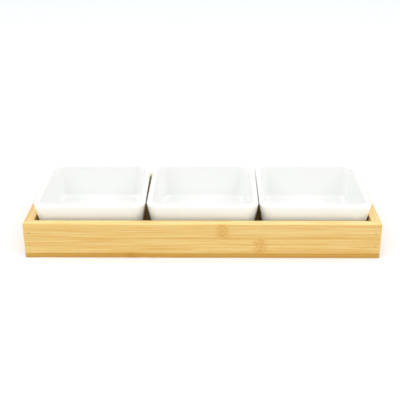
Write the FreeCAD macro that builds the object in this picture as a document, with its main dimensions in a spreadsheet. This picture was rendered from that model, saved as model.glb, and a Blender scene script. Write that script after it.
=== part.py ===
import FreeCAD, Part
import math
import os

import Sketcher

# Chip and dip server: a long bamboo tray with three square porcelain bowls standing in it.
# Millimetres. X runs along the tray, +Y points to its back, +Z is up, and the origin is the
# middle of the tray's underside.

SIZES = (
    ("end_room", 0.3, "between the right bowl and the end rail, at the rail's top"),
    ("side_room", 2.95, "between the bowls and each long rail, at the rail's top"),
    ("rail_height", 27.0, "height of the four rails, which stand on the base panel"),
    ("rail_stock", 7.9, "thickness of the four rails"),
    ("base_stock", 4.5, "thickness of the base panel"),
    ("corner_lip", 4.6, "wood left outside each corner rabbet"),
    ("arris", 0.6, "rounding of the tray's handled edges"),
    ("pin_shank", 1.0, "diameter of a brad"),
    ("pin_head", 1.4, "diameter of a brad's head"),
    ("pin_head_depth", 0.8, "thickness of a brad's head"),
    ("pin_point", 1.5, "length of a brad's point"),
    ("pin_sink", 0.3, "depth of a brad's head below the wood"),
    ("corner_pin_length", 20.0, "brads that hold the corners"),
    ("base_pin_length", 18.0, "brads that hold the base panel"),
    ("corner_pin_shift", 0.8, "corner brads, further in than the middle of the end rail's stock"),
    ("corner_pin_low", 7.0, "lower corner brad, above the rail's lower edge"),
    ("corner_pin_high", 18.5, "upper corner brad, above the rail's lower edge"),
    ("base_pin_margin", 20.0, "outermost base brad of a long rail, from the tray's end"),
    ("end_pin_spacing", 40.0, "between the two base brads of an end rail"),
    ("bowl_side", 95.0, "bowl over its rim, where it is widest"),
    ("bowl_height", 40.0, "bowl from foot to rim"),
    ("rim_corner", 10.0, "corner radius in plan, outside, at the rim"),
    ("foot_corner", 9.0, "corner radius in plan, outside, at the foot"),
    ("wall_lean", 9.5, "lean of the bowl's walls from upright, in degrees"),
    ("rim_wall", 5.0, "thickness of the wall at the rim"),
    ("rim_round", 1.8, "rounding of the rim's outer edge"),
    ("lip_round", 1.4, "rounding of the rim's inner edge"),
    ("floor_level", 9.0, "bowl's inner floor above its foot"),
    ("well_corner", 9.0, "corner radius in plan of the bowl's inside"),
    ("well_round", 5.0, "rounding between the inner floor and the walls"),
    ("foot_round", 3.0, "rounding between the wall and the foot"),
    ("foot_width", 4.0, "width of the foot ring that the bowl stands on"),
    ("foot_recess", 2.0, "depth of the hollow inside the foot ring"),
    ("left_gap", 0.9, "between the left and the middle bowl's rims, where they are nearest"),
    ("right_gap", 0.15, "between the middle and the right bowl's rims, where they are nearest"),
    ("middle_offset", 0.74, "middle bowl's centre, from the tray's middle"),
    ("left_turn", 0.4, "turn of the left bowl as it stands, anticlockwise from above, in degrees"),
    ("middle_turn", 0.5, "turn of the middle bowl, clockwise from above, in degrees"),
    ("right_turn", 0.2, "turn of the right bowl, clockwise from above, in degrees"),
)
LONG_RAIL_BASE_PINS = 4
CLOSE = 1e-4

doc = FreeCAD.newDocument("ChipAndDipServer")
sheet = doc.addObject("Spreadsheet::Sheet", "Sizes")
for row, (alias, value, note) in enumerate(SIZES, start=1):
    sheet.set("A%d" % row, note)
    sheet.set("B%d" % row, str(value))
    sheet.setAlias("B%d" % row, alias)
doc.recompute()

# Expressions that several pieces share, in the words of the sheet.
LEAN = "tan(Sizes.wall_lean * 1 deg)"
# The rim's rounding trims the leaning wall, so the outline it is cut from is a little wider.
RIM_SIDE = ("(Sizes.bowl_side + 2 * Sizes.rim_round * (%s + 1 / cos(Sizes.wall_lean * 1 deg) - 1))"
            % LEAN)
FOOT_SIDE = "(%s - 2 * Sizes.bowl_height * %s)" % (RIM_SIDE, LEAN)
MOUTH_SIDE = "(%s - 2 * Sizes.rim_wall)" % RIM_SIDE
WELL_SIDE = "(%s - 2 * (Sizes.bowl_height - Sizes.floor_level) * %s)" % (MOUTH_SIDE, LEAN)
# The tray is made round the row of bowls, which are nearest to the rails at the rails' top.
SIDE_AT_RAIL = "(%s + 2 * Sizes.rail_height * %s)" % (FOOT_SIDE, LEAN)
# A turned bowl swings the ends of its straight sides out by this times the sine of its turn.
SWING = "(Sizes.bowl_side / 2 - Sizes.rim_corner)"
LEFT_SINE, MIDDLE_SINE, RIGHT_SINE = ("sin(Sizes.%s_turn * 1 deg)" % which
                                      for which in ("left", "middle", "right"))
LEFT_BOWL_X = ("(Sizes.middle_offset - Sizes.bowl_side - Sizes.left_gap - %s * abs(%s + %s))"
               % (SWING, LEFT_SINE, MIDDLE_SINE))
RIGHT_BOWL_X = ("(Sizes.middle_offset + Sizes.bowl_side + Sizes.right_gap + %s * abs(%s - %s))"
                % (SWING, MIDDLE_SINE, RIGHT_SINE))
HALF_LENGTH = ("(%s + %s / 2 + %s * abs(%s) + Sizes.end_room + Sizes.rail_stock)"
               % (RIGHT_BOWL_X, SIDE_AT_RAIL, SWING, RIGHT_SINE))
HALF_DEPTH = "(%s / 2 + Sizes.side_room + Sizes.rail_stock)" % SIDE_AT_RAIL
END_RAIL_HALF = "(%s - Sizes.corner_lip)" % HALF_DEPTH
CORNER_PIN_INSET = "(Sizes.rail_stock / 2 + Sizes.corner_pin_shift)"
HEAD_BORE_DEPTH = "Sizes.pin_sink + Sizes.pin_head_depth"


def number(expression):
    """Value of an expression on the sheet's sizes."""
    result = sheet.evalExpression(expression.replace("Sizes.", ""))
    return float(getattr(result, "Value", result))


def new_body(label):
    """Empty body whose label becomes the piece's name."""
    body = doc.addObject("PartDesign::Body", label)
    body.Label = label
    return body


def place(body, x="0", y="0", z="0", axis=(0, 0, 1), angle=0.0):
    """Turn a finished body about its own origin and put that origin at x, y, z."""
    body.Placement = FreeCAD.Placement(
        FreeCAD.Vector(number(x), number(y), number(z)),
        FreeCAD.Rotation(FreeCAD.Vector(*axis), angle))
    body.setExpression("Placement.Base.x", x)
    body.setExpression("Placement.Base.y", y)
    body.setExpression("Placement.Base.z", z)


def sketch_on(body, role, name, offset="0"):
    """Sketch on one of the body's own origin planes, moved along the plane's normal."""
    plane = [item for item in body.Origin.OriginFeatures if item.Role == role][0]
    sketch = body.newObject("Sketcher::SketchObject", name)
    sketch.AttachmentSupport = [(plane, "")]
    sketch.MapMode = "FlatFace"
    if offset != "0":
        sketch.setExpression("AttachmentOffset.Base.z", offset)
    return sketch


def bind(sketch, constraint, expression):
    """Add a dimension to a sketch and tie it to the sheet."""
    index = sketch.addConstraint(constraint)
    sketch.setExpression("Constraints[%d]" % index, expression)


def draw_outline(sketch, corners):
    """Closed outline of straight lines through corners given as pairs of expressions."""
    points = [FreeCAD.Vector(number(x), number(y), 0) for x, y in corners]
    count = len(points)
    for i in range(count):
        sketch.addGeometry(Part.LineSegment(points[i], points[(i + 1) % count]), False)
    for i in range(count):
        sketch.addConstraint(Sketcher.Constraint("Coincident", i, 2, (i + 1) % count, 1))
    for i, (x, y) in enumerate(corners):
        bind(sketch, Sketcher.Constraint("DistanceX", -1, 1, i, 1, points[i].x), x)
        bind(sketch, Sketcher.Constraint("DistanceY", -1, 1, i, 1, points[i].y), y)


def draw_circles(sketch, diameter, centres):
    """Circles of one diameter at centres given as pairs of expressions."""
    for i, (x, y) in enumerate(centres):
        centre = FreeCAD.Vector(number(x), number(y), 0)
        sketch.addGeometry(Part.Circle(centre, FreeCAD.Vector(0, 0, 1), number(diameter) / 2), False)
        bind(sketch, Sketcher.Constraint("DistanceX", -1, 1, i, 3, centre.x), x)
        bind(sketch, Sketcher.Constraint("DistanceY", -1, 1, i, 3, centre.y), y)
        bind(sketch, Sketcher.Constraint("Diameter", i, number(diameter)), diameter)


def draw_round_square(sketch, side, radius):
    """Square about the sketch's origin with four equal round corners."""
    half = number(side) / 2
    bend = number(radius)
    flat = half - bend
    for turn in range(4):
        start = FreeCAD.Vector(-flat, -half, 0)
        end = FreeCAD.Vector(flat, -half, 0)
        centre = FreeCAD.Vector(flat, -flat, 0)
        spin = FreeCAD.Rotation(FreeCAD.Vector(0, 0, 1), 90 * turn)
        line = Part.LineSegment(spin.multVec(start), spin.multVec(end))
        circle = Part.Circle(spin.multVec(centre), FreeCAD.Vector(0, 0, 1), bend)
        first = math.radians(90 * turn - 90)
        sketch.addGeometry(line, False)
        sketch.addGeometry(Part.ArcOfCircle(circle, first, first + math.pi / 2), False)
    for side_line in (0, 2, 4, 6):
        corner_arc = side_line + 1
        next_line = (side_line + 2) % 8
        sketch.addConstraint(Sketcher.Constraint("Tangent", side_line, 2, corner_arc, 1))
        sketch.addConstraint(Sketcher.Constraint("Tangent", corner_arc, 2, next_line, 1))
    sketch.addConstraint(Sketcher.Constraint("Horizontal", 0))
    sketch.addConstraint(Sketcher.Constraint("Vertical", 2))
    sketch.addConstraint(Sketcher.Constraint("Horizontal", 4))
    sketch.addConstraint(Sketcher.Constraint("Vertical", 6))
    for arc in (3, 5, 7):
        sketch.addConstraint(Sketcher.Constraint("Equal", 1, arc))
    sketch.addConstraint(Sketcher.Constraint("Symmetric", 3, 3, 7, 3, -1, 1))
    bind(sketch, Sketcher.Constraint("DistanceX", 6, 1, 2, 1, 2 * half), side)
    bind(sketch, Sketcher.Constraint("DistanceY", 0, 1, 4, 1, 2 * half), side)
    bind(sketch, Sketcher.Constraint("Radius", 1, bend), radius)


def pad(body, sketch, length):
    """Solid raised from a sketch along its normal."""
    feature = body.newObject("PartDesign::Pad", sketch.Name + "_pad")
    feature.Profile = sketch
    feature.setExpression("Length", length)
    sketch.Visibility = False
    doc.recompute()
    return feature


def pocket(body, sketch, length=None, towards_normal=False):
    """Cut a sketch's shape out of the body, to a depth or right through, and check that it cuts."""
    before = body.Tip.Shape.Volume
    feature = body.newObject("PartDesign::Pocket", sketch.Name + "_pocket")
    feature.Profile = sketch
    feature.Reversed = towards_normal
    if length is None:
        feature.Type = "ThroughAll"
    else:
        feature.setExpression("Length", length)
    doc.recompute()
    if not feature.Shape.Volume < before:
        raise RuntimeError("%s cuts nothing" % feature.Name)
    return feature


def loft(body, kind, name, lower, upper):
    """Straight-sided loft between two sketches, added to the body or cut from it."""
    feature = body.newObject("PartDesign::" + kind, name)
    feature.Profile = lower
    feature.Sections = [upper]
    feature.Ruled = True
    doc.recompute()
    return feature


def fillet(body, name, radius, wanted):
    """Round the edges of the body for whose box the wanted function is true."""
    base = body.Tip
    edges = ["Edge%d" % (i + 1) for i, edge in enumerate(base.Shape.Edges) if wanted(edge.BoundBox)]
    if not edges:
        raise RuntimeError("%s finds no edge" % name)
    feature = body.newObject("PartDesign::Fillet", name)
    feature.Base = (base, edges)
    feature.setExpression("Radius", radius)
    doc.recompute()
    return feature


def near(value, target):
    """True where two lengths are the same to within the shapes' accuracy."""
    return abs(value - target) < CLOSE


def long_rail_base_pins():
    """Places along X of a long rail's base brads, evenly spread, as expressions."""
    last = LONG_RAIL_BASE_PINS - 1
    return ["(%s - Sizes.base_pin_margin) * %d / %d" % (HALF_LENGTH, 2 * i - last, last)
            for i in range(LONG_RAIL_BASE_PINS)]


def corner_pin_places():
    """Places of the corner brads seen from outside a long rail: along X, and above its lower edge."""
    return [("%s(%s - %s)" % (sign, HALF_LENGTH, CORNER_PIN_INSET), "Sizes." + level)
            for sign in ("-", "") for level in ("corner_pin_low", "corner_pin_high")]


def long_rail(label, y, angle):
    """Front or back rail: local Y runs from its outer face inwards. The ends are rabbeted."""
    body = new_body(label)
    shoulder = "(%s - Sizes.rail_stock)" % HALF_LENGTH
    plan = sketch_on(body, "XY_Plane", label + "_plan")
    draw_outline(plan, [
        ("-" + HALF_LENGTH, "0"),
        (HALF_LENGTH, "0"),
        (HALF_LENGTH, "Sizes.corner_lip"),
        (shoulder, "Sizes.corner_lip"),
        (shoulder, "Sizes.rail_stock"),
        ("-" + shoulder, "Sizes.rail_stock"),
        ("-" + shoulder, "Sizes.corner_lip"),
        ("-" + HALF_LENGTH, "Sizes.corner_lip")])
    pad(body, plan, "Sizes.rail_height")

    half_length = number(HALF_LENGTH)
    lip = number("Sizes.corner_lip")
    stock = number("Sizes.rail_stock")
    top = number("Sizes.rail_height")

    def handled(box):
        outer_corner = near(box.YMax, 0) and near(abs(box.XMin), half_length) and near(box.XLength, 0)
        top_edge = near(box.ZMin, top) and (near(box.YMax, 0) or near(box.YMin, stock))
        top_end = near(box.ZMin, top) and near(abs(box.XMin), half_length) and near(box.YMax, lip)
        return outer_corner or top_edge or (top_end and near(box.XLength, 0))

    fillet(body, label + "_arris", "Sizes.arris", handled)

    shanks = sketch_on(body, "XZ_Plane", label + "_corner_shanks")
    draw_circles(shanks, "Sizes.pin_shank", corner_pin_places())
    pocket(body, shanks)
    heads = sketch_on(body, "XZ_Plane", label + "_corner_heads")
    draw_circles(heads, "Sizes.pin_head", corner_pin_places())
    pocket(body, heads, HEAD_BORE_DEPTH)
    base_pins = sketch_on(body, "XY_Plane", label + "_base_shanks")
    draw_circles(base_pins, "Sizes.pin_shank",
                 [(x, "Sizes.rail_stock / 2") for x in long_rail_base_pins()])
    pocket(body, base_pins, "Sizes.pin_sink + Sizes.base_pin_length - Sizes.base_stock", True)
    place(body, y=y, z="Sizes.base_stock", angle=angle)


def end_rail(label, x, angle):
    """Left or right rail: local X runs from its outer face inwards. Its ends fill the rabbets."""
    body = new_body(label)
    plan = sketch_on(body, "XY_Plane", label + "_plan")
    draw_outline(plan, [
        ("0", "-" + END_RAIL_HALF),
        ("Sizes.rail_stock", "-" + END_RAIL_HALF),
        ("Sizes.rail_stock", END_RAIL_HALF),
        ("0", END_RAIL_HALF)])
    pad(body, plan, "Sizes.rail_height")

    top = number("Sizes.rail_height")

    def handled(box):
        return near(box.ZMin, top) and near(box.XLength, 0)

    fillet(body, label + "_arris", "Sizes.arris", handled)

    depth = "Sizes.pin_sink + Sizes.corner_pin_length - Sizes.corner_lip"
    for end, offset, inwards in (("front", END_RAIL_HALF, False), ("back", "-" + END_RAIL_HALF, True)):
        shanks = sketch_on(body, "XZ_Plane", "%s_%s_shanks" % (label, end), offset)
        draw_circles(shanks, "Sizes.pin_shank",
                     [(CORNER_PIN_INSET, "Sizes.corner_pin_low"),
                      (CORNER_PIN_INSET, "Sizes.corner_pin_high")])
        pocket(body, shanks, depth, inwards)
    base_pins = sketch_on(body, "XY_Plane", label + "_base_shanks")
    draw_circles(base_pins, "Sizes.pin_shank",
                 [("Sizes.rail_stock / 2", sign + "Sizes.end_pin_spacing / 2") for sign in ("-", "")])
    pocket(body, base_pins, "Sizes.pin_sink + Sizes.base_pin_length - Sizes.base_stock", True)
    place(body, x=x, z="Sizes.base_stock", angle=angle)


def base_pin_places():
    """Name and place of every base brad, in the tray's own X and Y."""
    places = []
    for side, sign in (("front", "-"), ("back", "")):
        for i, x in enumerate(long_rail_base_pins(), start=1):
            places.append(("base_pin_%s_%d" % (side, i), x,
                           "%s(%s - Sizes.rail_stock / 2)" % (sign, HALF_DEPTH)))
    for side, x_sign in (("left", "-"), ("right", "")):
        for end, y_sign in (("front", "-"), ("back", "")):
            places.append(("base_pin_%s_%s" % (side, end),
                           "%s(%s - Sizes.rail_stock / 2)" % (x_sign, HALF_LENGTH),
                           y_sign + "Sizes.end_pin_spacing / 2"))
    return places


def base_panel():
    """Flat panel under the rails, flush with them all round."""
    body = new_body("base_panel")
    plan = sketch_on(body, "XY_Plane", "base_plan")
    draw_outline(plan, [
        ("-" + HALF_LENGTH, "-" + HALF_DEPTH),
        (HALF_LENGTH, "-" + HALF_DEPTH),
        (HALF_LENGTH, HALF_DEPTH),
        ("-" + HALF_LENGTH, HALF_DEPTH)])
    pad(body, plan, "Sizes.base_stock")

    def handled(box):
        upright = near(box.XLength, 0) and near(box.YLength, 0)
        return upright or near(box.ZMax, 0)

    fillet(body, "base_arris", "Sizes.arris", handled)
    centres = [(x, y) for name, x, y in base_pin_places()]
    shanks = sketch_on(body, "XY_Plane", "base_shanks")
    draw_circles(shanks, "Sizes.pin_shank", centres)
    pocket(body, shanks, towards_normal=True)
    heads = sketch_on(body, "XY_Plane", "base_heads")
    draw_circles(heads, "Sizes.pin_head", centres)
    pocket(body, heads, HEAD_BORE_DEPTH, True)


def brad(label, length, x, y, z, axis=(1, 0, 0), angle=0.0):
    """Round brad: its head is at the local origin and its point is up local Z."""
    body = new_body(label)
    profile = sketch_on(body, "XZ_Plane", label + "_profile")
    draw_outline(profile, [
        ("0", "0"),
        ("Sizes.pin_head / 2", "0"),
        ("Sizes.pin_head / 2", "Sizes.pin_head_depth"),
        ("Sizes.pin_shank / 2", "Sizes.pin_head_depth"),
        ("Sizes.pin_shank / 2", "%s - Sizes.pin_point" % length),
        ("0", length)])
    turned = body.newObject("PartDesign::Revolution", label + "_turned")
    turned.Profile = profile
    turned.ReferenceAxis = (profile, ["V_Axis"])
    turned.Angle = 360
    doc.recompute()
    place(body, x, y, z, axis, angle)


def all_brads():
    """Two brads through each corner of the frame, and those that hold the base panel."""
    for side, sign, angle in (("front", "-", -90), ("back", "", 90)):
        for end, x_sign in (("left", "-"), ("right", "")):
            for level in ("low", "high"):
                brad("corner_pin_%s_%s_%s" % (side, end, level), "Sizes.corner_pin_length",
                     "%s(%s - %s)" % (x_sign, HALF_LENGTH, CORNER_PIN_INSET),
                     "%s(%s - Sizes.pin_sink)" % (sign, HALF_DEPTH),
                     "Sizes.base_stock + Sizes.corner_pin_%s" % level, angle=angle)
    for name, x, y in base_pin_places():
        brad(name, "Sizes.base_pin_length", x, y, "Sizes.pin_sink")


def bowl(label, x, angle=0.0):
    """Square bowl with leaning walls, a flat floor and a foot ring. It stands on the base panel."""
    body = new_body(label)
    foot = sketch_on(body, "XY_Plane", label + "_foot")
    draw_round_square(foot, FOOT_SIDE, "Sizes.foot_corner")
    rim = sketch_on(body, "XY_Plane", label + "_rim", "Sizes.bowl_height")
    draw_round_square(rim, RIM_SIDE, "Sizes.rim_corner")
    loft(body, "AdditiveLoft", label + "_outside", foot, rim)
    well = sketch_on(body, "XY_Plane", label + "_well", "Sizes.floor_level")
    draw_round_square(well, WELL_SIDE, "Sizes.well_corner")
    mouth = sketch_on(body, "XY_Plane", label + "_mouth", "Sizes.bowl_height")
    draw_round_square(mouth, MOUTH_SIDE, "Sizes.well_corner")
    loft(body, "SubtractiveLoft", label + "_inside", well, mouth)
    hollow = sketch_on(body, "XY_Plane", label + "_hollow")
    draw_round_square(hollow, "%s - 2 * (Sizes.foot_round + Sizes.foot_width)" % FOOT_SIDE,
                      "Sizes.foot_corner - Sizes.foot_width")
    pocket(body, hollow, "Sizes.foot_recess", True)

    top = number("Sizes.bowl_height")
    floor = number("Sizes.floor_level")
    mouth_half = number(MOUTH_SIDE) / 2
    hollow_half = number(FOOT_SIDE) / 2 - number("Sizes.foot_round + Sizes.foot_width")

    def reach(box):
        return max(abs(box.XMin), abs(box.XMax), abs(box.YMin), abs(box.YMax))

    def rim_outside(box):
        return near(box.ZMin, top) and reach(box) > mouth_half + CLOSE

    def rim_inside(box):
        return near(box.ZMin, top) and reach(box) < mouth_half + CLOSE

    def floor_edge(box):
        return near(box.ZMax, floor) and near(box.ZLength, 0)

    def foot_edge(box):
        return near(box.ZMax, 0) and reach(box) > hollow_half + CLOSE

    fillet(body, label + "_floor_round", "Sizes.well_round", floor_edge)
    fillet(body, label + "_foot_round", "Sizes.foot_round", foot_edge)
    fillet(body, label + "_rim_round", "Sizes.rim_round", rim_outside)
    fillet(body, label + "_lip_round", "Sizes.lip_round", rim_inside)
    place(body, x=x, z="Sizes.base_stock", angle=angle)


def three_bowls():
    """The row of bowls. Each stands a little askew, as it was set down."""
    bowl("left_bowl", LEFT_BOWL_X, number("Sizes.left_turn"))
    bowl("middle_bowl", "Sizes.middle_offset", -number("Sizes.middle_turn"))
    bowl("right_bowl", RIGHT_BOWL_X, -number("Sizes.right_turn"))


def write_pieces():
    """Check the whole document, then write each piece to its own STEP file."""
    doc.recompute()
    for item in doc.Objects:
        if "Invalid" in item.State or "Error" in item.State:
            raise RuntimeError("%s: %s" % (item.Label, item.State))
    os.makedirs("parts", exist_ok=True)
    for body in doc.Objects:
        if body.TypeId != "PartDesign::Body":
            continue
        if body.Shape.isNull() or not body.Shape.isValid() or len(body.Shape.Solids) != 1:
            raise RuntimeError("%s is not one good solid" % body.Label)
        body.Shape.exportStep("parts/%s.step" % body.Label)
        print("%-28s %10.1f mm3" % (body.Label, body.Shape.Volume))


long_rail("front_rail", "-" + HALF_DEPTH, 0)
long_rail("back_rail", HALF_DEPTH, 180)
end_rail("left_end_rail", "-" + HALF_LENGTH, 0)
end_rail("right_end_rail", HALF_LENGTH, 180)
base_panel()
all_brads()
three_bowls()
write_pieces()
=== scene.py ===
"""Chip and dip server: finish for the bamboo tray and its brads, glazed bowls and a plain studio.

Laid out as an add-on and run as a script. Metres; X along the tray, +Y to its back, +Z up.
"""
import math

import bmesh
import bpy
from mathutils import Matrix, Vector


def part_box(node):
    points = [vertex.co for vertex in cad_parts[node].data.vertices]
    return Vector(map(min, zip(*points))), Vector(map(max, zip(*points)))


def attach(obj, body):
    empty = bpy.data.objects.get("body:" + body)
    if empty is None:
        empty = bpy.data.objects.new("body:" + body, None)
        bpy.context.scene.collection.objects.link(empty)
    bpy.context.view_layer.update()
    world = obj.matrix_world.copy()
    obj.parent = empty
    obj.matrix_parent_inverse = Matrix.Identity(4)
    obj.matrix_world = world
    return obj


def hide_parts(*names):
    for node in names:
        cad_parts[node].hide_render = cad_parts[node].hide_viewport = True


bl_info = {
    "name": "Chip and Dip Server",
    "version": (1, 0, 0),
    "blender": (4, 5, 0),
    "location": "View3D > Sidebar > Server",
    "description": "Bamboo tray finish, glazed square bowls and a plain studio",
    "category": "Object",
}

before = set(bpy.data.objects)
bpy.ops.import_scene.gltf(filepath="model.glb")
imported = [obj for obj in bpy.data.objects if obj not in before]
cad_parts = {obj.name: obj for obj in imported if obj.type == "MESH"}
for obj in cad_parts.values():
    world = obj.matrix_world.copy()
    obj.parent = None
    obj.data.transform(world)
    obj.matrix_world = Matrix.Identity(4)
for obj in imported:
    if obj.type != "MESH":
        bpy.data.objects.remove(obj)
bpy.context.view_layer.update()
MM = 0.001
BOWLS = ("left_bowl", "middle_bowl", "right_bowl")
TRAY_LOW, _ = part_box("base_panel")
BOWL_LOW, BOWL_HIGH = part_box("middle_bowl")


# ---------------------------------------------------------------- sizes and colours

def length(name, default, description):
    """Property for a length in metres, given in millimetres."""
    return bpy.props.FloatProperty(name=name, description=description, default=default * MM,
                                   min=0.0, unit="LENGTH", precision=5)


def colour(name, default, description):
    """Property for a linear colour."""
    return bpy.props.FloatVectorProperty(name=name, description=description, default=default,
                                         size=3, min=0.0, max=1.0, subtype="COLOR")


def plain(name, default, description, low=0.0, high=10.0):
    """Property for a plain number."""
    return bpy.props.FloatProperty(name=name, description=description, default=default,
                                   min=low, max=high)


def spot(name, default, description):
    """Property for a place in metres."""
    return bpy.props.FloatVectorProperty(name=name, description=description, default=default,
                                         size=3, unit="LENGTH", precision=5)


class BambooSettings(bpy.types.PropertyGroup):
    """Look of the tray's bamboo."""
    honey: colour("Honey", (0.84, 0.586, 0.188), "Darker bands between the fibres")
    straw: colour("Straw", (0.95, 0.82, 0.39), "Pale bands of the fibres")
    ribbon: colour("Ribbon", (0.82, 0.49, 0.108), "Orange streaks along the grain")
    cream: colour("Cream", (0.96, 0.88, 0.56), "Pale streaks along the grain")
    fibre: colour("Fibre", (0.65, 0.41, 0.108), "Fine dark fibres and the knuckles' rings")
    end_grain: colour("End grain", (0.55, 0.30, 0.09), "Ground of the cut ends")
    # Painted shade: the rails' outer faces are multiplied darker than their tops and inner faces,
    # for the shade on the upright sides; the deeper lacquer in its description is this painted
    # shade.
    outer_face_painted_shade: colour("Outer face", (0.800, 0.672, 0.500), "Deeper lacquer on the outer faces")
    # Painted contact shade: the base panel's sides darken over their lowest few millimetres next
    # to the floor; the gathered lacquer in its description is this painted shade.
    panel_foot_painted_shade: colour("Panel edge", (0.50, 0.27, 0.05), "Lacquer gathered at the panel's foot")
    # Partly the panel's own darker edge tone and partly painted shade, as on the rails' outer
    # faces.
    panel_side_tone_and_shade: colour("Panel side", (0.63, 0.48, 0.20), "Deeper lacquer round the base panel")
    strip: length("Strip", 13.5, "Height of the strips that a rail is glued up from")
    band: length("Band", 1.3, "Usual width of a pale or a dark band")
    hair: length("Hair", 0.35, "Usual width of one fibre")
    knuckle: length("Knuckle", 5.8, "Half the length of the disturbed grain at a knuckle")
    swirl: length("Swirl", 2.2, "How far the grain bends round a knuckle")
    drift: length("Drift", 2.4, "How far the bands wander along a board")
    ribbon_share: plain("Ribbon share", 0.70, "Strength of the orange streaks", 0.0, 1.0)
    cream_share: plain("Cream share", 0.45, "Strength of the pale streaks", 0.0, 1.0)
    fleck_share: plain("Fleck share", 0.35, "Strength of the short dark flecks", 0.0, 1.0)
    seam_share: plain("Seam share", 0.22, "Strength of the line between two strips", 0.0, 1.0)
    satin: plain("Satin", 0.42, "Roughness of the satin lacquer", 0.05, 1.0)
    relief: length("Relief", 0.06, "Depth of the open grain")


class BowlSettings(bpy.types.PropertyGroup):
    """Shape and glaze of a bowl."""
    wall_lean: bpy.props.FloatProperty(name="Lean", description="Lean of the walls from upright",
                                       default=math.radians(9.5), subtype="ANGLE")
    plan_corner: length("Plan corner", 10.0, "Corner radius in plan, outside, at the rim")
    rim_wall: length("Rim wall", 5.0, "Thickness of the wall at the rim")
    rim_round: length("Rim round", 1.8, "Rounding of the rim's outer edge")
    lip_round: length("Lip round", 1.4, "Rounding of the rim's inner edge")
    floor_level: length("Floor level", 9.0, "Inner floor above the foot")
    well_round: length("Well round", 5.0, "Rounding between the floor and the walls")
    foot_round: length("Foot round", 3.0, "Rounding between the wall and the foot")
    foot_width: length("Foot width", 4.0, "Width of the foot ring")
    foot_recess: length("Foot recess", 2.0, "Depth of the hollow inside the foot ring")
    edge_round: length("Edge round", 0.4, "Rounding of the foot ring's inner edge")
    floor_dish: length("Floor dish", 0.25, "How far the inner floor's middle lies below its edge")
    side: length("Side", 95.0, "Bowl over its rim")
    turns: bpy.props.FloatVectorProperty(name="Turns", size=3, subtype="EULER",
                                         description="Turns of the left, middle and right bowl",
                                         default=[math.radians(a) for a in (0.4, -0.5, -0.2)])
    glaze: colour("Glaze", (0.850, 0.858, 0.843), "White glaze")
    thin_glaze: colour("Thin glaze", (0.84, 0.82, 0.77), "Glaze where it has run thin")
    pooled_glaze: colour("Pooled glaze", (0.858, 0.862, 0.858), "Glaze where it lies thicker")
    fault: colour("Fault", (0.62, 0.57, 0.50), "Pin-prick specks in the glaze")
    biscuit: colour("Biscuit", (0.72, 0.68, 0.61), "Bare clay of the foot ring")
    pale_biscuit: colour("Pale biscuit", (0.80, 0.77, 0.70), "Paler grit in the bare clay")
    gloss: plain("Gloss", 0.22, "Roughness of the glaze", 0.02, 1.0)


class StudioSettings(bpy.types.PropertyGroup):
    """Camera, lights and floor."""
    lens: plain("Lens", 69.175, "Focal length on a 36 mm sensor, in millimetres", 10.0, 300.0)
    camera_place: spot("Camera", (0.00619, -0.63101, 0.31410), "Camera's place")
    yaw: plain("Yaw", 0.767, "Camera's turn to the left, in degrees", -90.0, 90.0)
    pitch: plain("Pitch", 24.359, "Camera's tilt down, in degrees", -90.0, 90.0)
    roll: plain("Roll", -0.218, "Camera's roll, in degrees", -90.0, 90.0)
    floor: colour("Floor", (0.905, 0.935, 0.96), "Pale floor")
    sky: plain("Sky", 0.70, "Strength of the even white surround", 0.0, 10.0)
    key: plain("Key", 3.0, "Power of the large light overhead, in watts", 0.0, 500.0)
    key_size: plain("Key size", 3.0, "Side of the large light overhead, in metres", 0.1, 10.0)
    key_place: spot("Key place", (0.0, 0.2, 2.0), "Middle of the light overhead")
    front: plain("Front", 17.8, "Power of the wide light in front, in watts", 0.0, 500.0)
    front_width: plain("Front width", 3.2, "Width of the light in front, in metres", 0.1, 10.0)
    front_size: plain("Front size", 1.4, "Depth of the light in front, in metres", 0.1, 10.0)
    front_place: spot("Front place", (0.0, -1.42, 1.48), "Middle of the light in front")
    side_power: plain("Side", 15.5, "Power of each light at the sides, in watts", 0.0, 500.0)
    side_size: plain("Side size", 1.4, "Side of each light at the sides, in metres", 0.1, 10.0)
    side_place: spot("Side place", (1.9, -0.1, 1.5), "Middle of the light to the right")
    sheen: plain("Sheen", 3.0, "Power of the light behind, in watts", 0.0, 500.0)
    sheen_size: plain("Sheen size", 1.6, "Side of the light behind, in metres", 0.1, 10.0)
    sheen_place: spot("Sheen place", (0.0, 2.4, 1.1), "Middle of the light behind")


# ---------------------------------------------------------------- shader words

class Socket:
    """Output socket of a node, on which Python's operators add Math nodes."""

    def __init__(self, graph, output):
        self.graph = graph
        self.output = output

    def _math(self, operation, *values):
        return self.graph.add("ShaderNodeMath", {"operation": operation},
                              {i: value for i, value in enumerate(values)})

    def __add__(self, other):
        return self._math("ADD", self, other)

    def __sub__(self, other):
        return self._math("SUBTRACT", self, other)

    def __rsub__(self, other):
        return self._math("SUBTRACT", other, self)

    def __mul__(self, other):
        return self._math("MULTIPLY", self, other)

    def __truediv__(self, other):
        return self._math("DIVIDE", self, other)

    def __abs__(self):
        return self._math("ABSOLUTE", self)

    __radd__ = __add__
    __rmul__ = __mul__

    def above(self, edge, soft):
        """0 below the edge and 1 above it, turning over a soft width."""
        return self.graph.add("ShaderNodeMapRange", {"interpolation_type": "SMOOTHSTEP"},
                              {"Value": self, "From Min": edge - soft / 2,
                               "From Max": edge + soft / 2}, "Result")

    def floor(self):
        return self._math("FLOOR", self)


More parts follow.
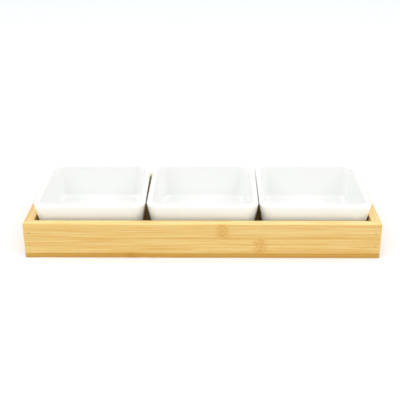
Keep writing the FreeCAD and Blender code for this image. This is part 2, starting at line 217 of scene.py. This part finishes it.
class Graph:
    """A material's node tree and the few ways in which nodes are added to it."""

    def __init__(self, name):
        self.material = bpy.data.materials.new(name)
        self.material.use_nodes = True
        self.tree = self.material.node_tree
        self.tree.nodes.clear()

    def add(self, kind, settings, inputs, output=0):
        """New node with its settings, then its sockets' values or links. Gives one output."""
        node = self.tree.nodes.new(kind)
        for name, value in settings.items():
            if name == "stops":
                ramp = node.color_ramp
                for i, (place, shade) in enumerate(value):
                    stop = ramp.elements[i] if i < 2 else ramp.elements.new(place)
                    stop.position = place
                    stop.color = (*shade, 1.0)
            else:
                setattr(node, name, value)
        for key, value in inputs.items():
            socket = node.inputs[key]
            if isinstance(value, Socket):
                self.tree.links.new(value.output, socket)
            elif socket.type == "RGBA":
                socket.default_value = (*value, 1.0)
            else:
                socket.default_value = value
        return Socket(self, node.outputs[output])

    def place(self):
        """Object coordinates."""
        return self.add("ShaderNodeTexCoord", {}, {}, "Object")

    def axes(self, vector):
        """The three parts of a vector."""
        node = self.tree.nodes.new("ShaderNodeSeparateXYZ")
        self.tree.links.new(vector.output, node.inputs[0])
        return [Socket(self, node.outputs[i]) for i in range(3)]

    def vector(self, x, y, z):
        """A vector from three parts."""
        return self.add("ShaderNodeCombineXYZ", {}, {0: x, 1: y, 2: z})

    def noise(self, vector, scale=1.0, detail=2.0, rough=0.5):
        """Fractal noise of 0 to 1."""
        return self.add("ShaderNodeTexNoise", {},
                        {"Vector": vector, "Scale": scale, "Detail": detail, "Roughness": rough},
                        "Fac")

    def cells(self, vector, spread=1.0):
        """Distance to the nearest of the points strewn about."""
        return self.add("ShaderNodeTexVoronoi", {},
                        {"Vector": vector, "Scale": 1.0, "Randomness": spread}, "Distance")

    def mix(self, factor, first, second, kind="MIX"):
        """Colour between two colours."""
        return self.add("ShaderNodeMix", {"data_type": "RGBA", "blend_type": kind},
                        {0: factor, 6: first, 7: second}, 2)

    def finish(self, **sockets):
        """Principled shader with its sockets, joined to the output."""
        names = {key.replace("_", " "): value for key, value in sockets.items()}
        shader = self.add("ShaderNodeBsdfPrincipled", {}, names)
        out = self.tree.nodes.new("ShaderNodeOutputMaterial")
        self.tree.links.new(shader.output, out.inputs["Surface"])
        return self.material

    def bump(self, height, distance):
        """Normal from a height of 0 to 1 over a distance in metres."""
        return self.add("ShaderNodeBump", {}, {"Height": height, "Distance": distance,
                                               "Strength": 1.0})


# ---------------------------------------------------------------- materials

def knuckle_masks(graph, look, board, knuckles, strip_number, seed):
    """Masks of a knuckle's disturbed grain, its thin ring and the bent grain round it."""
    run, across, up = board
    disturbed = run * 0.0
    ring = run * 0.0
    around = run * 0.0
    wander = graph.noise(graph.vector(up * 300.0, across * 300.0, seed)) - 0.5
    for number, knuckle in enumerate(knuckles):
        in_strip = 1 - abs(strip_number - float(number)).above(0.5, 0.01)
        off_middle = abs(run - knuckle + wander * (5 * MM))
        near = 1 - off_middle.above(look.knuckle * 0.85, look.knuckle * 1.1)
        line = 1 - off_middle.above(0.45 * MM, 0.7 * MM)
        wide = 1 - abs(run - knuckle).above(look.knuckle * 4, look.knuckle * 5)
        disturbed = disturbed + near * in_strip
        ring = ring + line * in_strip
        around = around + wide
    return disturbed, ring, around


def grain(graph, look, board, masks, shift, seed):
    """Colour of the bamboo along the grain, with its fibres and short flecks for the relief."""
    run, across, up = board
    disturbed, ring, around = masks
    mottle = graph.noise(graph.vector(run * 620.0, across * 620.0, up * 620.0 + shift))
    swirl = graph.noise(graph.vector(run * 70.0 + shift, across * 90.0, up * 110.0),
                        1.0, 1.0) - 0.5
    bent_up = up + disturbed * (mottle - 0.5) * (5 * MM) + around * swirl * look.swirl
    bent_across = across + disturbed * (mottle - 0.5) * (3 * MM)
    drift = (graph.noise(graph.vector(run * 9.0, shift, seed), 1.0, 1.0) - 0.5) * look.drift
    wandering = bent_up + drift

    per_band = 1.0 / look.band
    per_streak = per_band * 1.2
    per_hair = 1.0 / look.hair
    per_fleck = per_hair * 1.6
    bands = graph.noise(graph.vector(run * 5.0 + shift, bent_across * per_band,
                                     wandering * per_band), 1.0, 3.0, 0.55)
    streaks = graph.noise(graph.vector(run * 15.0 + shift, bent_across * per_streak,
                                       wandering * per_streak), 1.0, 2.0, 0.6)
    hairs = graph.noise(graph.vector(run * 26.0 + shift, bent_across * per_hair,
                                     bent_up * per_hair), 1.0, 2.0, 0.6)
    flecks = graph.noise(graph.vector(run * 110.0, bent_across * per_fleck,
                                      bent_up * per_fleck + shift), 1.0, 1.0)
    clouds = graph.noise(graph.vector(run * 16.0, across * 60.0, up * 60.0 + shift))
    bundles = graph.cells(graph.vector(run * 620.0, across * 860.0, up * 860.0 + shift), 0.9)
    spots = (1 - bundles.above(0.36, 0.26)) * mottle.above(0.44, 0.24)

    fibre, ribbon = tuple(look.fibre), tuple(look.ribbon)
    body = graph.add("ShaderNodeValToRGB",
                     {"stops": ((0.36, tuple(look.honey)), (0.62, tuple(look.straw)))},
                     {0: bands * 0.64 + hairs * 0.27 + clouds * 0.09})
    body = graph.mix(streaks.above(0.58, 0.14) * look.ribbon_share, body, ribbon)
    body = graph.mix((1 - streaks.above(0.40, 0.14)) * look.cream_share, body, tuple(look.cream))
    body = graph.mix(flecks.above(0.66, 0.08) * look.fleck_share, body, fibre)
    body = graph.mix(disturbed * 0.40, body, ribbon)
    body = graph.mix(disturbed * spots, body, fibre)
    body = graph.mix(ring * 0.16, body, fibre)
    relief = hairs * 0.5 + flecks * 0.3 - ring * 0.5 + disturbed * mottle * 0.6
    return body, hairs, relief


def bamboo(name, look, along, knuckles, low, outward, tint, seed):
    """Bamboo glued up from strips. along is the grain's axis, 0 for X and 1 for Y.

    knuckles gives, for each strip from the lowest, the knuckle's place along the grain.
    outward is the way a rail's outer face looks across the grain, 1 or -1, or 0 for the panel.
    tint multiplies the whole colour. seed moves the grain so that no two boards are alike.
    """
    graph = Graph(name)
    parts = graph.axes(graph.place())
    run, across, up = board = (parts[along], parts[1 - along], parts[2])
    facing = graph.axes(graph.add("ShaderNodeTexCoord", {}, {}, "Normal"))
    fibre = tuple(look.fibre)

    strip_number = ((up - low) / look.strip).floor()
    seam = abs((up - low) / look.strip - strip_number - 0.5).above(0.488, 0.012)
    shift = strip_number * 0.37 + seed
    masks = knuckle_masks(graph, look, board, knuckles, strip_number, seed)
    body, hairs, relief = grain(graph, look, board, masks, shift, seed)
    body = graph.mix(seam * look.seam_share, body, fibre)

    cut_end = abs(facing[along]).above(0.7, 0.2)
    pores = graph.cells(graph.vector(run * 230.0, across * 1150.0, up * 1150.0))
    ends = graph.mix((1 - pores.above(0.30, 0.16)) * 0.65, tuple(look.end_grain), fibre)
    body = graph.mix(cut_end * 0.8, body, ends)
    if outward:
        # Painted shade: a rail's outer face is multiplied darker than its top and its inner face.
        outside = (facing[1 - along] * float(outward)).above(0.7, 0.3)
        body = graph.mix(outside, body, tuple(look.outer_face_painted_shade), "MULTIPLY")
    else:
        # The panel's upright sides are multiplied darker: partly the panel's own darker edge
        # tone, partly painted shade.
        outside = 1 - abs(facing[2]).above(0.6, 0.3)
        body = graph.mix(outside, body, tuple(look.panel_side_tone_and_shade), "MULTIPLY")
        # Painted contact shade: the panel's sides darken towards the floor over their lowest few
        # millimetres.
        foot = 1 - (up - low).above(2 * MM, 4 * MM)
        body = graph.mix(foot * outside * 0.45, body, tuple(look.panel_foot_painted_shade))
    body = graph.mix(1.0, body, tint, "MULTIPLY")

    rough = look.satin + (hairs - 0.5) * 0.16 + cut_end * 0.18 + masks[0] * 0.05
    return graph.finish(Base_Color=body, Roughness=rough, Specular_IOR_Level=0.42,
                        Coat_Weight=0.10, Coat_Roughness=0.28,
                        Normal=graph.bump(relief - seam * 0.6, look.relief))


def brad_steel():
    """Dull steel brad: a little rust and glue mottled over it, and fine scratches."""
    graph = Graph("brad_steel")
    place = graph.place()
    grime = graph.noise(place, 2600.0, 3.0)
    scratch = graph.noise(place, 9000.0, 2.0)
    metal = graph.add("ShaderNodeValToRGB",
                      {"stops": ((0.30, (0.43, 0.27, 0.12)), (0.70, (0.60, 0.41, 0.22)))},
                      {0: grime})
    return graph.finish(Base_Color=metal, Metallic=0.12, Roughness=scratch * 0.25 + 0.52,
                        Specular_IOR_Level=0.2,
                        Normal=graph.bump(grime * 0.6 + scratch * 0.4, 0.02 * MM))


def porcelain(look, foot_level, rim_level):
    """White glaze, thin at the rim's edge and ending at the bare ring of the foot."""
    graph = Graph("white_porcelain")
    place = graph.place()
    up = graph.axes(place)[2]
    pool = graph.noise(place, 55.0, 2.0)
    peel = graph.noise(place, 420.0, 2.0)
    waver = graph.noise(place, 90.0, 2.0) - 0.5
    bare = 1 - (up + waver * (0.5 * MM)).above(foot_level + 0.9 * MM, 0.35 * MM)
    thin = up.above(rim_level - 0.45 * MM, 0.8 * MM)
    speck = graph.noise(place, 1900.0, 1.0).above(0.80, 0.03)
    grit = graph.noise(place, 5200.0, 2.0)

    white = graph.mix(pool * 0.25, tuple(look.glaze), tuple(look.pooled_glaze))
    white = graph.mix(thin * 0.18, white, tuple(look.thin_glaze))
    white = graph.mix(speck * 0.25, white, tuple(look.fault))
    clay = graph.mix(grit * 0.5, tuple(look.biscuit), tuple(look.pale_biscuit))
    body = graph.mix(bare, white, clay)
    height = peel * 0.5 * (1 - bare) + grit * bare
    rough = (look.gloss + (pool - 0.5) * 0.06) * (1 - bare) + bare * 0.8
    return graph.finish(Base_Color=body, Roughness=rough,
                        Specular_IOR_Level=0.5, IOR=1.52,
                        Coat_Weight=(1 - bare) * 0.25, Coat_Roughness=0.16,
                        Normal=graph.bump(height, 0.005 * MM))


def give(node, material):
    """Put one material on a CAD node or a piece."""
    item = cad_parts.get(node) if isinstance(node, str) else node
    item.data.materials.clear()
    item.data.materials.append(material)


# ---------------------------------------------------------------- modelling words

def ring_profile(look, side, height):
    """Half widths and levels of the rings, from under the foot over the rim to the floor."""
    lean = math.tan(look.wall_lean)
    slope = look.wall_lean
    outer_trim = look.rim_round * (lean + 1 / math.cos(slope) - 1)
    rim_half = side / 2 + outer_trim
    foot_half = rim_half - height * lean
    mouth_half = rim_half - look.rim_wall

    def outside(level):
        return foot_half + level * lean

    def inside(level):
        return mouth_half - (height - level) * lean

    def arc(centre, radius, first, last, steps):
        return [(centre[0] + radius * math.cos(first + (last - first) * i / steps),
                 centre[1] + radius * math.sin(first + (last - first) * i / steps))
                for i in range(steps + 1)]

    quarter = math.pi / 2
    hollow_half = foot_half - look.foot_round - look.foot_width
    edge = look.edge_round
    rings = [(hollow_half, look.foot_recess)]
    rings += arc((hollow_half + edge, edge), edge, math.pi, math.pi + quarter, 4)
    # The foot round touches the flat foot and the leaning wall.
    foot_rise = look.foot_round
    foot_centre = (outside(foot_rise) - look.foot_round / math.cos(slope), foot_rise)
    rings += arc(foot_centre, look.foot_round, -quarter, -slope, 8)
    rings += [(outside(level), level) for level in (0.35 * height, 0.62 * height, 0.82 * height)]
    rim_centre_level = height - look.rim_round
    rim_centre = (outside(rim_centre_level) - look.rim_round / math.cos(slope), rim_centre_level)
    rings += arc(rim_centre, look.rim_round, -slope, quarter, 8)
    lip_level = height - look.lip_round
    lip_centre = (inside(lip_level) + look.lip_round / math.cos(slope), lip_level)
    rings += arc(lip_centre, look.lip_round, quarter, math.pi - slope, 8)
    well_level = look.floor_level + look.well_round
    well_centre = (inside(well_level) - look.well_round / math.cos(slope), well_level)
    rings += [(inside(level), level) for level in (0.8 * height, 0.6 * height)]
    rings += arc(well_centre, look.well_round, -slope, -quarter, 10)
    for share in (0.75, 0.45, 0.15):
        dish = look.floor_dish * (1 - share * share)
        rings.append((well_centre[0] * share, look.floor_level - dish))
    return rings


def only(item):
    """Deselect everything, then select one object and make it active."""
    bpy.ops.object.select_all(action="DESELECT")
    item.select_set(True)
    bpy.context.view_layer.objects.active = item


def model_bowl(look, name, side, height):
    """Bowl about the origin, its foot at level 0, drawn up ring by ring from a rounded square."""
    rings = ring_profile(look, side, height)
    first_half, first_level = rings[0]
    bpy.ops.object.select_all(action="DESELECT")
    bpy.ops.mesh.primitive_plane_add(size=2 * first_half, location=(0, 0, first_level))
    bowl = bpy.context.active_object
    bowl.name = name
    bpy.ops.object.transform_apply(location=True, rotation=True, scale=True)
    bpy.ops.object.mode_set(mode="EDIT")
    bpy.ops.mesh.select_all(action="SELECT")
    bpy.ops.mesh.subdivide(number_cuts=7)
    bpy.ops.mesh.select_all(action="DESELECT")
    mesh = bmesh.from_edit_mesh(bowl.data)
    for vertex in mesh.verts:
        corner = abs(abs(vertex.co.x) - first_half) + abs(abs(vertex.co.y) - first_half)
        vertex.select = corner < first_half * 1e-3
    mesh.select_flush(True)
    bmesh.update_edit_mesh(bowl.data)
    corner_share = look.plan_corner / (side / 2)
    bpy.ops.mesh.bevel(affect="VERTICES", offset=corner_share * first_half,
                       segments=12, profile=0.5)
    bpy.ops.mesh.select_all(action="SELECT")
    bpy.ops.mesh.dissolve_limited(angle_limit=math.radians(0.01), use_dissolve_boundaries=False)
    bpy.ops.mesh.select_all(action="SELECT")
    level, half = first_level, first_half
    for next_half, next_level in rings[1:]:
        bpy.ops.mesh.extrude_region_move(
            TRANSFORM_OT_translate={"value": (0, 0, next_level - level)})
        share = next_half / half
        bpy.ops.transform.resize(value=(share, share, 1), center_override=(0, 0, next_level))
        level, half = next_level, next_half
    bpy.ops.mesh.select_all(action="SELECT")
    bpy.ops.mesh.remove_doubles(threshold=0.001 * MM)
    bpy.ops.mesh.normals_make_consistent(inside=False)
    bpy.ops.object.mode_set(mode="OBJECT")
    only(bowl)
    bpy.ops.object.shade_smooth()
    bpy.ops.object.modifier_add(type="WEIGHTED_NORMAL")
    bowl.modifiers[-1].mode = "FACE_AREA"
    bowl.modifiers[-1].weight = 60
    bpy.ops.object.modifier_apply(modifier=bowl.modifiers[-1].name)
    return bowl


def set_down(bowl, node, turn):
    """Turn a finished bowl and put it where its CAD node stands, with its place in its mesh."""
    low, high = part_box(node)
    middle = (low + high) / 2
    bowl.data.transform(Matrix.Translation((middle.x, middle.y, low.z))
                        @ Matrix.Rotation(turn, 4, "Z"))


# ---------------------------------------------------------------- operators

class SERVER_OT_rails(bpy.types.Operator):
    """Finish the four rails in bamboo, each with its own grain and knuckles"""
    bl_idname = "server.rails"
    bl_label = "Finish the rails"

    def execute(self, context):
        look = context.scene.server_bamboo
        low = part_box("front_rail")[0].z
        boards = (
            ("front_rail", 0, (49 * MM, 17 * MM), -1, (1.0, 1.0, 1.0), 0.0),
            ("back_rail", 0, (-88 * MM, 71 * MM), 1, (1.0, 0.98, 0.95), 4.3),
            ("left_end_rail", 1, (-12 * MM, 31 * MM), -1, (0.97, 0.86, 0.80), 8.1),
            ("right_end_rail", 1, (22 * MM, -34 * MM), 1, (1.0, 0.97, 0.99), 12.7),
        )
        for node, along, knuckles, outward, tint, seed in boards:
            give(node, bamboo(node + "_bamboo", look, along, knuckles, low, outward, tint, seed))
        return {"FINISHED"}


class SERVER_OT_base(bpy.types.Operator):
    """Finish the base panel in a darker bamboo"""
    bl_idname = "server.base"
    bl_label = "Finish the base panel"

    def execute(self, context):
        look = context.scene.server_bamboo
        give("base_panel", bamboo("base_panel_bamboo", look, 0, (-60 * MM,), TRAY_LOW.z, 0,
                                  (0.98, 0.90, 0.72), 17.9))
        return {"FINISHED"}


class SERVER_OT_brads(bpy.types.Operator):
    """Finish the brads in dull steel"""
    bl_idname = "server.brads"
    bl_label = "Finish the brads"

    def execute(self, context):
        steel = brad_steel()
        brads = [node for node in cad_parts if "_pin_" in node]
        if not brads:
            raise RuntimeError("the tray has no brads")
        for node in brads:
            give(node, steel)
        return {"FINISHED"}


class SERVER_OT_bowls(bpy.types.Operator):
    """Model one glazed bowl and stand a copy of it in each of the three places"""
    bl_idname = "server.bowls"
    bl_label = "Model the bowls"

    def execute(self, context):
        look = context.scene.server_bowl
        height = BOWL_HIGH.z - BOWL_LOW.z
        glaze = porcelain(look, BOWL_LOW.z, BOWL_HIGH.z)
        pattern = model_bowl(look, "bowl_pattern", look.side, height)
        for node, turn in zip(BOWLS, look.turns):
            bowl = bpy.data.objects.new(node + "_glazed", pattern.data.copy())
            context.scene.collection.objects.link(bowl)
            set_down(bowl, node, turn)
            give(bowl, glaze)
            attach(bowl, node)
            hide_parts(node)
        bpy.data.objects.remove(pattern)
        return {"FINISHED"}


class SERVER_OT_stage(bpy.types.Operator):
    """Make the camera, the soft lights and the pale floor"""
    bl_idname = "server.stage"
    bl_label = "Make the stage"

    def execute(self, context):
        look = context.scene.server_studio
        scene = context.scene
        self.camera(look, scene)
        self.floor(look)
        self.lights(look, scene)
        scene.view_settings.view_transform = "Standard"
        return {"FINISHED"}

    def camera(self, look, scene):
        data = bpy.data.cameras.new("camera")
        data.sensor_width = 36.0
        data.lens = look.lens
        camera = bpy.data.objects.new("camera", data)
        scene.collection.objects.link(camera)
        yaw, pitch, roll = (math.radians(v) for v in (look.yaw, look.pitch, look.roll))
        ahead = Vector((-math.sin(yaw) * math.cos(pitch), math.cos(yaw) * math.cos(pitch),
                        -math.sin(pitch)))
        right = Vector((math.cos(yaw), math.sin(yaw), 0))
        top = right.cross(ahead)
        view_right = math.cos(roll) * right + math.sin(roll) * top
        view_top = -math.sin(roll) * right + math.cos(roll) * top
        turned = Matrix((view_right, view_top, -ahead)).transposed().to_4x4()
        camera.matrix_world = Matrix.Translation(look.camera_place) @ turned
        scene.camera = camera

    def floor(self, look):
        bpy.ops.object.select_all(action="DESELECT")
        bpy.ops.mesh.primitive_plane_add(size=12.0, location=(0, 0, TRAY_LOW.z))
        ground = bpy.context.active_object
        ground.name = "floor"
        graph = Graph("pale_floor")
        give(ground, graph.finish(Base_Color=tuple(look.floor), Roughness=0.75,
                                  Specular_IOR_Level=0.2))

    def lights(self, look, scene):
        world = bpy.data.worlds.new("surround")
        scene.world = world
        world.use_nodes = True
        world.node_tree.nodes["Background"].inputs["Color"].default_value = (1, 1, 1, 1)
        world.node_tree.nodes["Background"].inputs["Strength"].default_value = look.sky
        right = Vector(look.side_place)
        left = Vector((-right.x, right.y, right.z))
        side, sheen, key = look.side_size, look.sheen_size, look.key_size
        for name, place, width, depth, power in (
                ("key_light", look.key_place, key, key, look.key),
                ("front_light", look.front_place, look.front_width, look.front_size, look.front),
                ("left_light", left, side, side, look.side_power),
                ("right_light", right, side, side, look.side_power),
                ("sheen_light", look.sheen_place, sheen, sheen, look.sheen)):
            data = bpy.data.lights.new(name, "AREA")
            data.shape = "RECTANGLE"
            data.size = width
            data.size_y = depth
            data.energy = power
            light = bpy.data.objects.new(name, data)
            scene.collection.objects.link(light)
            light.location = place
            light.rotation_mode = "QUATERNION"
            light.rotation_quaternion = (-Vector(place)).to_track_quat("-Z", "Y")


class SERVER_PT_panel(bpy.types.Panel):
    """Steps and settings of the server, in the 3D view's sidebar"""
    bl_idname = "SERVER_PT_panel"
    bl_label = "Chip and Dip Server"
    bl_space_type = "VIEW_3D"
    bl_region_type = "UI"
    bl_category = "Server"

    def draw(self, context):
        for step in STEPS:
            self.layout.operator(step.bl_idname)
        for name in GROUPS:
            settings = getattr(context.scene, name)
            box = self.layout.box()
            for key in settings.__annotations__:
                box.prop(settings, key)


STEPS = (SERVER_OT_stage, SERVER_OT_rails, SERVER_OT_base, SERVER_OT_brads, SERVER_OT_bowls)
GROUPS = {"server_bamboo": BambooSettings, "server_bowl": BowlSettings,
          "server_studio": StudioSettings}


def register():
    for item in (*GROUPS.values(), *STEPS, SERVER_PT_panel):
        bpy.utils.register_class(item)
    for name, group in GROUPS.items():
        setattr(bpy.types.Scene, name, bpy.props.PointerProperty(type=group))


def unregister():
    for name in GROUPS:
        delattr(bpy.types.Scene, name)
    for item in reversed((*GROUPS.values(), *STEPS, SERVER_PT_panel)):
        bpy.utils.unregister_class(item)


def main():
    """Build everything in order."""
    register()
    bpy.ops.server.stage()
    bpy.ops.server.rails()
    bpy.ops.server.base()
    bpy.ops.server.brads()
    bpy.ops.server.bowls()


if __name__ == "__main__":
    main()
